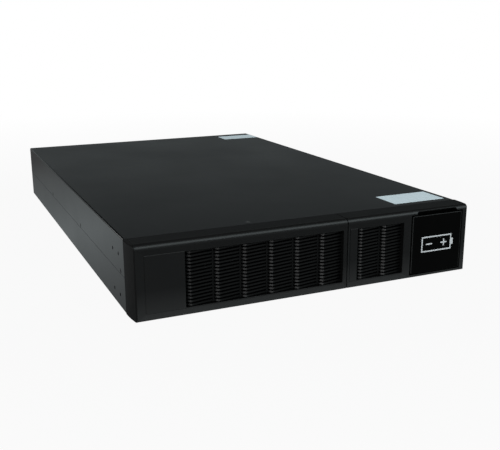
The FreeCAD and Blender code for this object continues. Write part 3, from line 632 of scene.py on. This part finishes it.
low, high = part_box("port_screws")
portSeat = high.y - domeHeight(panScrew)
lowerScrew, upperScrew = low.z + panScrew["head"], high.z - panScrew["head"]
portMiddles = [middle(port)[0] for port in ("port_housing_1", "port_housing_2")]
portSpots = [((x, portSeat, z), (0, 1, 0)) for x in portMiddles for z in (lowerScrew, upperScrew)]
setScrews(panScrew, portSpots, "portScrewHeads", "port_screws",
          looks["plated_steel"])

earthX, _, earthZ = middle("ground_screw")
earthSpot = (earthX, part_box("ground_screw")[1].y - domeHeight(earthScrew), earthZ)
setScrews(earthScrew, [(earthSpot, (0, 1, 0))], "earthScrewHead", "ground_screw",
          looks["plated_steel"])
print("screws with cross recesses:", len(sideSpots) + len(portSpots) + 2)


# Filled marks on the rear: the toggle's two ends, and the two poles beside the port screws
rearMark = {"stroke": 0.9 * mm, "rise": 0.25 * mm, "edge": 0.1 * mm, "length": 4.6 * mm,
            "ring": 2.0 * mm, "ringSegments": 32, "strokeSegments": 10,
            "fromToggle": 9.0 * mm, "fromMiddle": 8.0 * mm,
            "pole": 3.4 * mm, "fromScrew": 6.6 * mm}


def markBar(centre, width, height):
    return softBar(centre, (width, 2 * rearMark["rise"], height), rearMark["edge"])


def markRing(centre):
    clearSelection()
    bpy.ops.mesh.primitive_torus_add(location=centre, rotation=(math.radians(90), 0, 0),
                                     major_radius=rearMark["ring"],
                                     minor_radius=rearMark["stroke"] / 2,
                                     major_segments=rearMark["ringSegments"],
                                     minor_segments=rearMark["strokeSegments"])
    ring = bpy.context.object
    bpy.ops.object.transform_apply(location=False, rotation=True, scale=False)
    ring.scale = (1.0, 2 * rearMark["rise"] / rearMark["stroke"], 1.0)
    return ring


def settleMarks(marks, name, look):
    joinAll(marks)
    settle(marks[0], name, look)


markPaint = plasticLook("mark_paint", dark=(0.58, 0.58, 0.56, 1.0),
                        pale=(0.68, 0.68, 0.66, 1.0), roughness=0.45)
breakerX, _, breakerZ = middle("breaker_body")
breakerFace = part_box("breaker_body")[1].y
markX = breakerX + rearMark["fromToggle"]
onMark = markBar((markX, breakerFace, breakerZ + rearMark["fromMiddle"]),
                 rearMark["stroke"], rearMark["length"])
offMark = markRing((markX, breakerFace, breakerZ - rearMark["fromMiddle"]))
settleMarks([onMark, offMark], "toggleMarks", markPaint)
poleMarks = []
earFace = portSeat - panScrew["headDepth"]
for portX in portMiddles:
    x = portX - rearMark["fromScrew"]
    poleMarks.append(markBar((x, earFace, upperScrew), rearMark["pole"], rearMark["stroke"]))
    poleMarks.append(markBar((x, earFace, lowerScrew), rearMark["pole"], rearMark["stroke"]))
    poleMarks.append(markBar((x, earFace, lowerScrew), rearMark["stroke"], rearMark["pole"]))
settleMarks(poleMarks, "poleMarks", markPaint)
print("filled marks on the rear")


# A dark foam strip low in the split between the mouldings, put there as painted shade so that no
# light comes up through it
splitShade = {"width": 0.8 * mm, "height": 2.2 * mm, "depth": 25.0 * mm, "setBack": 1.2 * mm,
             "lift": 0.4 * mm, "edge": 0.2 * mm}


def shadeTheSplit():
    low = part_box("side_bezel")[0]
    size = (splitShade["width"], splitShade["depth"], splitShade["height"])
    start = (low.x - splitShade["width"], low.y + splitShade["setBack"], low.z + splitShade["lift"])
    # painted shade: a dark strip that stands in for the shade in the split
    shadeBlock = softBar([start[i] + size[i] / 2 for i in range(3)], size, splitShade["edge"])
    settle(shadeBlock, "splitShade", looks["foam"])


shadeTheSplit()
print("seal in the split")


# Stage, light and camera

stage = {"reach": 60.0, "albedo": grey(0.15), "nearShare": 0.94, "shadow": (0.5, 1.6),
         "gloss": 0.40, "front": (-0.50, 0.06), "rear": (0.02, 0.68)}
room = {"cool": (0.90, 1.0, 1.02, 1.0), "fill": 0.42, "glossLow": 0.25, "glossHigh": 0.02,
        "sine": (0.17, 0.24)}
lamps = {
    "frontSoftbox": {"at": (0.90, -2.0, 1.65), "towards": (0.0, -0.3, 0.05), "size": (3.6, 1.5),
                     "power": 50.0, "colour": (0.88, 1.0, 1.02)},
    "leftSoftbox": {"at": (-1.75, -1.40, 0.70), "towards": (-0.1, -0.3, 0.03), "size": (1.0, 0.9),
                    "power": 11.0, "colour": (1.0, 1.0, 1.0)},
    "rearSoftbox": {"at": (-1.7, 1.7, 1.4), "towards": (0.0, 0.2, 0.05), "size": (2.4, 2.0),
                    "power": 26.0, "colour": (1.0, 1.0, 1.0)},
}


def rayKinds(look):
    rays = look.node("ShaderNodeLightPath").socket.node.outputs
    kinds = ("Is Camera Ray", "Is Glossy Ray", "Is Transmission Ray")
    return [Value(look, rays[kind]) for kind in kinds]


def whiteRoom():
    # White to the eye and through glass.
    # What gloss meets is pale low down and dims towards the ceiling.
    world = bpy.data.worlds.new("white_room")
    bpy.context.scene.world = world
    look = Look(world)
    camera, glossy, transmission = rayKinds(look)
    sine = look.split(look.node("ShaderNodeTexCoord", output="Generated"))[2]
    height = look.ramp(sine, *room["sine"])
    sheen = glossy * (height * (room["glossHigh"] - room["glossLow"]) + room["glossLow"])
    strength = camera | transmission | sheen | room["fill"] * (1 - glossy)
    colour = look.tint(glossy, grey(1.0), room["cool"])
    glow = look.node("ShaderNodeBackground", inputs={"Color": colour, "Strength": strength})
    look.node("ShaderNodeOutputWorld", inputs={"Surface": glow})


def floorLook():
    # White to the eye, with some of the shadow kept close to the object.
    # Gloss meets less of it in front and far behind.
    look = newLook("pale_floor")
    camera, glossy, transmission = rayKinds(look)
    place = look.place()
    reach = look.node("ShaderNodeVectorMath", {"operation": "LENGTH"}, {0: place}, "Value")
    y = look.split(place)[1]
    seen = look.ramp(reach, *stage["shadow"]) * (1 - stage["nearShare"]) + stage["nearShare"]
    beside = look.ramp(y, *stage["front"]) * (1 - look.ramp(y, *stage["rear"]))
    share = (camera | transmission) * seen | glossy * beside * stage["gloss"]
    matt = look.node("ShaderNodeBsdfDiffuse", inputs={"Color": stage["albedo"]})
    colour = look.tint(glossy, grey(1.0), room["cool"])
    glow = look.node("ShaderNodeEmission", inputs={"Color": colour, "Strength": 1.0})
    mixed = look.node("ShaderNodeMixShader", inputs={0: share, 1: matt, 2: glow})
    look.node("ShaderNodeOutputMaterial", inputs={"Surface": mixed})
    return look.owner


def softLamp(name, lamp):
    light = bpy.data.lights.new(name, "AREA")
    light.shape = "RECTANGLE"
    light.size, light.size_y = lamp["size"]
    light.energy = lamp["power"]
    light.color = lamp["colour"]
    holder = bpy.data.objects.new(name, light)
    bpy.context.scene.collection.objects.link(holder)
    holder.location = lamp["at"]
    aim = Vector(lamp["towards"]) - Vector(lamp["at"])
    holder.rotation_euler = aim.to_track_quat("-Z", "Y").to_euler()


whiteRoom()
clearSelection()
bpy.ops.mesh.primitive_plane_add(size=stage["reach"], location=(0, 0, 0))
floor = bpy.context.object
floor.name = "paleFloor"
floor.data.materials.append(floorLook())
for lampName, lamp in lamps.items():
    softLamp(lampName, lamp)
print("stage and lamps:", len(lamps))

camera = {"at": (-0.40649, -1.08683, 0.30849), "right": (0.91403, -0.40562, -0.00552),
          "up": (0.11025, 0.23529, 0.96565), "lens": 54.159, "sensor": 36.0}
lensData = bpy.data.cameras.new("photoCamera")
lensData.lens = camera["lens"]
lensData.sensor_fit = "HORIZONTAL"
lensData.sensor_width = camera["sensor"]
eye = bpy.data.objects.new("photoCamera", lensData)
bpy.context.scene.collection.objects.link(eye)
backward = Vector(camera["right"]).cross(Vector(camera["up"]))
turn = Matrix((camera["right"], camera["up"], backward)).transposed().to_4x4()
eye.matrix_world = Matrix.Translation(camera["at"]) @ turn
bpy.context.scene.camera = eye
bpy.context.scene.view_settings.view_transform = "Standard"
print("camera set")
